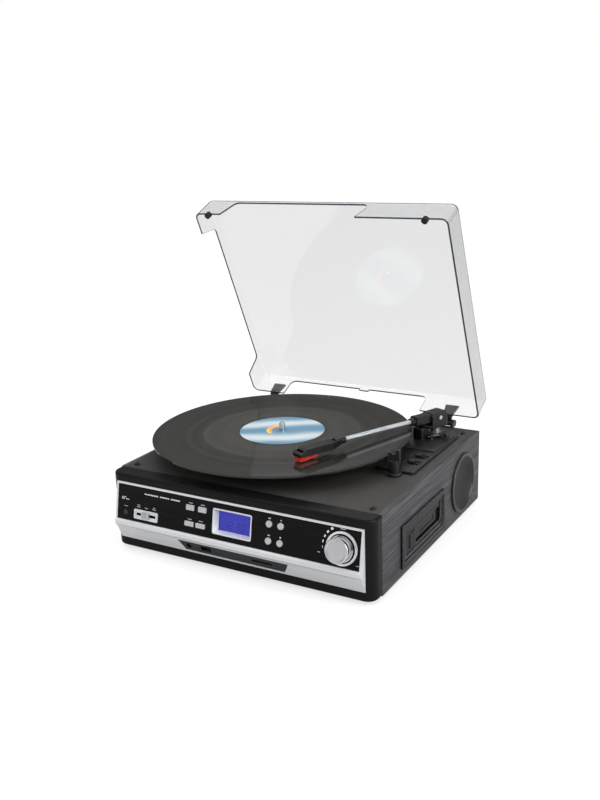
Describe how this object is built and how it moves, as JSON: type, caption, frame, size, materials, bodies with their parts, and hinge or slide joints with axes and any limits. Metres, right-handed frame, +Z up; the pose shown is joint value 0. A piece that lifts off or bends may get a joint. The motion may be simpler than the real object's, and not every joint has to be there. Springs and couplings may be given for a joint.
{
  "type": "record player",
  "caption": "Table-top record player with a belt-driven platter, tonearm, hinged clear cover, radio display, cassette slot and side speakers in a box cabinet.",
  "frame": {"origin": "centre of the cabinet's footprint, on the plane that the feet stand on", "axes": "+Z up along the spindle, +X to the right as seen from the front, +Y to the back"},
  "size_m": [0.3424, 0.3469, 0.3673],
  "materials": {
    "arm_black": "satin moulded",
    "arm_tube_metal": "satin tube",
    "bare_board": "matte fibreboard",
    "belt_rubber": "matte",
    "black_deck": "matte black lacquer on board",
    "black_plastic": "satin moulded",
    "black_veneer": "satin, black grained wrap on board",
    "board_green": "fibreglass board",
    "bush_brass": "turned",
    "button_silver": "satin silver",
    "chrome_bezel": "bright silver plating",
    "clear_cover": "clear moulded",
    "dark_screw": "satin black",
    "display_blue": "backlit display glass",
    "foot_rubber": "matte",
    "grille_black": "gloss ring, fine mesh dish",
    "hinge_grey": "satin",
    "knob_silver": "spun face, bright sides",
    "mat_rubber": "ribbed",
    "motor_metal": "zinc plated",
    "panel_gloss": "gloss black",
    "pillar_grey": "satin grey",
    "pivot_steel": "polished",
    "platter_black": "satin moulded",
    "port_grey": "satin dark grey",
    "pot_metal": "plain",
    "record_vinyl": "grooved vinyl with a printed label",
    "sensor_dark": "dark translucent lens",
    "silver_trim": "satin silver paint",
    "socket_shell": "plated shells",
    "speaker_black": "matte",
    "spindle_steel": "polished",
    "stylus_red": "translucent red"
  },
  "bodies": {
    "cabinet": {"base_board": "bare_board", "left_side_panel": "black_veneer", "right_side_panel": "black_veneer", "rear_panel": "bare_board", "deck_board": "black_deck", "rubber_feet": "foot_rubber", "cabinet_screws": "dark_screw", "front_frame": "black_plastic", "front_trim": "silver_trim", "control_panel": "panel_gloss", "panel_bezels": "chrome_bezel", "display_module": "display_blue", "sensor_window": "sensor_dark", "volume_pot": "pot_metal", "circuit_boards": "board_green", "port_insert": "port_grey", "signal_sockets": "socket_shell", "speaker_drivers": "speaker_black", "speaker_grilles": "grille_black", "cassette_bezel": "black_plastic", "cassette_mechanism": "black_plastic", "drive_motor": "motor_metal", "bearing_bush": "bush_brass", "drive_belt": "belt_rubber", "tonearm_plate": "black_plastic", "pivot_pillar": "pillar_grey", "lift_block": "arm_black", "arm_rest": "arm_black", "hinge_bases": "hinge_grey"},
    "turntable": {"platter": "platter_black", "platter_mat": "mat_rubber", "spindle": "spindle_steel", "record": "record_vinyl"},
    "pulley": {"motor_pulley": "bush_brass"},
    "arm_carrier": {"tonearm_housing": "arm_black", "pivot_screws": "pivot_steel"},
    "arm": {"arm_socket": "arm_black", "arm_tube": "arm_tube_metal", "headshell": "arm_black", "stylus": "stylus_red"},
    "lift": {"lift_bar": "arm_black"},
    "cue": {"cue_lever": "arm_black"},
    "autostop": {"autostop_slider": "arm_black"},
    "speed": {"speed_slider": "arm_black"},
    "function": {"function_slider": "button_silver"},
    "volume": {"volume_knob": "knob_silver"},
    "flap": {"cassette_flap": "black_plastic"},
    "eject": {"cassette_key": "black_plastic"},
    "cover": {"dust_cover": "clear_cover", "lid_bumpers": "foot_rubber", "hinge_leaves": "hinge_grey"},
    "key_1": {"key_button_1": "button_silver"},
    "key_2": {"key_button_2": "button_silver"},
    "key_3": {"key_button_3": "button_silver"},
    "key_4": {"key_button_4": "button_silver"},
    "round_1": {"round_button_1": "button_silver"},
    "round_2": {"round_button_2": "button_silver"},
    "round_3": {"round_button_3": "button_silver"},
    "round_4": {"round_button_4": "button_silver"}
  },
  "joints": [
    {"name": "lid_hinge", "type": "hinge", "parent": "cabinet", "child": "cover", "pos_m": [0, 0.1525, 0.0951], "axis": [-1, 0, 0], "range_deg": [-66, 0]},
    {"name": "platter_spin", "type": "hinge", "parent": "cabinet", "child": "turntable", "pos_m": [-0.02798, 0.0025, 0.091], "axis": [0, 0, 1], "continuous": true},
    {"name": "pulley_spin", "type": "hinge", "parent": "cabinet", "child": "pulley", "pos_m": [-0.10798, 0.0025, 0.091], "axis": [0, 0, 1], "continuous": true},
    {"name": "arm_swing", "type": "hinge", "parent": "cabinet", "child": "arm_carrier", "pos_m": [0.1195, 0.11, 0.116], "axis": [0, 0, 1], "range_deg": [-15.9, 25.7]},
    {"name": "arm_lift", "type": "hinge", "parent": "arm_carrier", "child": "arm", "pos_m": [0.1195, 0.11, 0.116], "axis": [-0.9285, 0.3714, 0], "range_deg": [0, 0.75]},
    {"name": "cue_turn", "type": "hinge", "parent": "cabinet", "child": "cue", "pos_m": [0.122, 0.0805, 0.0992], "axis": [-0.6293, -0.7771, 0], "range_deg": [0, 60]},
    {"name": "lift_rise", "type": "slide", "parent": "cabinet", "child": "lift", "axis": [0, 0, 1], "range_m": [0, 0.0005]},
    {"name": "autostop_slide", "type": "slide", "parent": "cabinet", "child": "autostop", "axis": [1, 0, 0], "range_m": [-0.003, 0.003]},
    {"name": "speed_slide", "type": "slide", "parent": "cabinet", "child": "speed", "axis": [1, 0, 0], "range_m": [-0.0037, 0.0037]},
    {"name": "function_slide", "type": "slide", "parent": "cabinet", "child": "function", "axis": [1, 0, 0], "range_m": [-0.009, 0.009]},
    {"name": "volume_turn", "type": "hinge", "parent": "cabinet", "child": "volume", "pos_m": [0.1295, -0.153, 0.0596], "axis": [0, -0.981, 0.1942], "range_deg": [-140, 140]},
    {"name": "flap_swing", "type": "hinge", "parent": "cabinet", "child": "flap", "pos_m": [0.1584, -0.01256, 0.0421], "axis": [0, 1, 0], "range_deg": [0, 80]},
    {"name": "eject_press", "type": "slide", "parent": "cabinet", "child": "eject", "axis": [-1, 0, 0], "range_m": [0, 0.003], "stiffness_N_per_m": 300},
    {"name": "key_press_1", "type": "slide", "parent": "cabinet", "child": "key_1", "axis": [0, 0.981, -0.1942], "range_m": [0, 0.001], "stiffness_N_per_m": 300},
    {"name": "key_press_2", "type": "slide", "parent": "cabinet", "child": "key_2", "axis": [0, 0.981, -0.1942], "range_m": [0, 0.001], "stiffness_N_per_m": 300},
    {"name": "key_press_3", "type": "slide", "parent": "cabinet", "child": "key_3", "axis": [0, 0.981, -0.1942], "range_m": [0, 0.001], "stiffness_N_per_m": 300},
    {"name": "key_press_4", "type": "slide", "parent": "cabinet", "child": "key_4", "axis": [0, 0.981, -0.1942], "range_m": [0, 0.001], "stiffness_N_per_m": 300},
    {"name": "round_press_1", "type": "slide", "parent": "cabinet", "child": "round_1", "axis": [0, 0.981, -0.1942], "range_m": [0, 0.001], "stiffness_N_per_m": 300},
    {"name": "round_press_2", "type": "slide", "parent": "cabinet", "child": "round_2", "axis": [0, 0.981, -0.1942], "range_m": [0, 0.001], "stiffness_N_per_m": 300},
    {"name": "round_press_3", "type": "slide", "parent": "cabinet", "child": "round_3", "axis": [0, 0.981, -0.1942], "range_m": [0, 0.001], "stiffness_N_per_m": 300},
    {"name": "round_press_4", "type": "slide", "parent": "cabinet", "child": "round_4", "axis": [0, 0.981, -0.1942], "range_m": [0, 0.001], "stiffness_N_per_m": 300}
  ],
  "couplings": [
    {"joint": "pulley_spin", "follows": "platter_spin", "ratio": 10.333},
    {"joint": "cue_turn", "follows": "arm_lift", "ratio": 79.99},
    {"joint": "lift_rise", "follows": "arm_lift", "m_per_rad": 0.03819}
  ]
}
